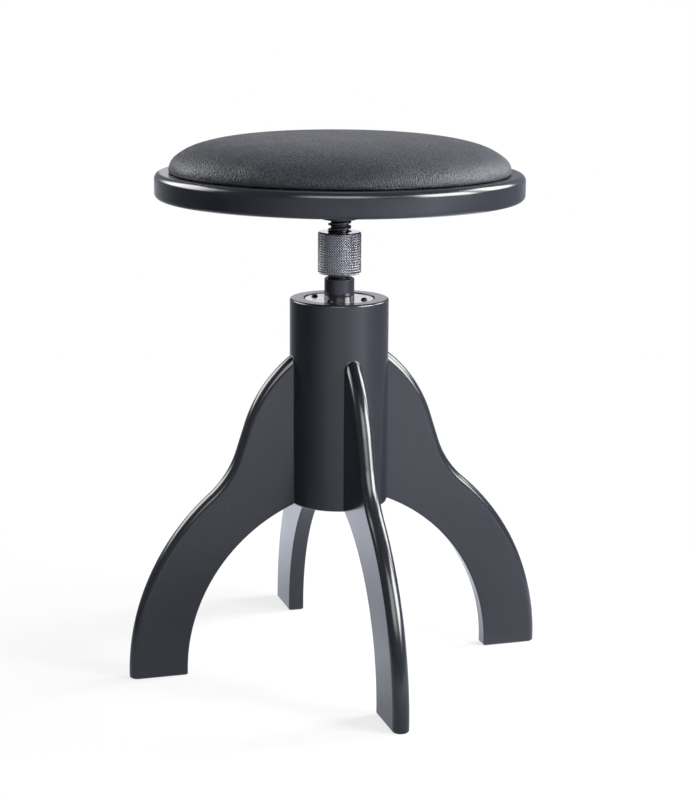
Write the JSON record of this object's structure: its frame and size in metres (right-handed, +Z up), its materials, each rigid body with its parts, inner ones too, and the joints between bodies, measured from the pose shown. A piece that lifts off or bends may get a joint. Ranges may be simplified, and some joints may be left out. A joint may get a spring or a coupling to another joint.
{
  "type": "revolving piano stool",
  "caption": "Round padded piano stool whose seat turns up and down on a screw spindle, held by a knurled lock nut, on a turned column with ogee legs.",
  "frame": {"origin": "on the spindle's axis, at the floor that the four feet stand on", "axes": "+Z up along the spindle; the four legs point along -Y (front), +X (right), +Y (back) and -X (left)"},
  "size_m": [0.4178, 0.4178, 0.5192],
  "materials": {
    "black_lacquer": "black stained and lacquered hardwood, semi-gloss",
    "plain_timber": "bare beech or plywood, hidden inside",
    "imitation_leather": "dark grey fine-grained imitation leather, satin",
    "foam": "open-cell upholstery foam, matt",
    "zinc_steel": "zinc-plated steel, satin",
    "gunmetal_steel": "blackened and knurled steel with polished edges",
    "blackened_steel": "black oxide on steel, glossy",
    "black_plastic": "black polyamide, matt"
  },
  "bodies": {
    "base": {"column": "black_lacquer", "leg_front": "black_lacquer", "leg_right": "black_lacquer", "leg_back": "black_lacquer", "leg_left": "black_lacquer", "leg_dowels": "plain_timber", "top_plate": "zinc_steel", "plate_screws": "blackened_steel", "guide_tube": "blackened_steel", "spindle_nut": "gunmetal_steel"},
    "stop_ring": {"stop_washer": "zinc_steel"},
    "seat": {"spindle": "blackened_steel", "stop_screw": "blackened_steel", "seat_hub": "blackened_steel", "hub_set_screw": "blackened_steel", "seat_plate": "blackened_steel", "seat_plate_screws": "zinc_steel", "seat_board": "black_lacquer", "cushion_screws": "zinc_steel", "cushion_board": "plain_timber", "foam_pad": "foam", "cushion_cover": "imitation_leather", "cover_staples": "zinc_steel"},
    "lock_ring": {"lock_ring": "black_plastic"},
    "lock_nut": {"lock_nut": "gunmetal_steel", "lock_nut_core": "zinc_steel"}
  },
  "joints": [
    {"name": "seat_lift", "type": "slide", "parent": "base", "child": "stop_ring", "axis": [0, 0, 1], "range_m": [0, 0.1]},
    {"name": "seat_turn", "type": "hinge", "parent": "stop_ring", "child": "seat", "pos_m": [0, 0, 0.46], "axis": [0, 0, 1], "range_deg": [0, 7200]},
    {"name": "lock_ring_lift", "type": "slide", "parent": "seat", "child": "lock_ring", "axis": [0, 0, 1], "range_m": [-0.004, 0.011]},
    {"name": "lock_nut_turn", "type": "hinge", "parent": "lock_ring", "child": "lock_nut", "pos_m": [0, 0, 0.407], "axis": [0, 0, 1], "range_deg": [-288, 792]}
  ],
  "couplings": [
    {"joint": "seat_lift", "follows": "seat_turn", "m_per_rad": 0.00079577},
    {"joint": "lock_ring_lift", "follows": "lock_nut_turn", "m_per_rad": 0.00079577}
  ]
}
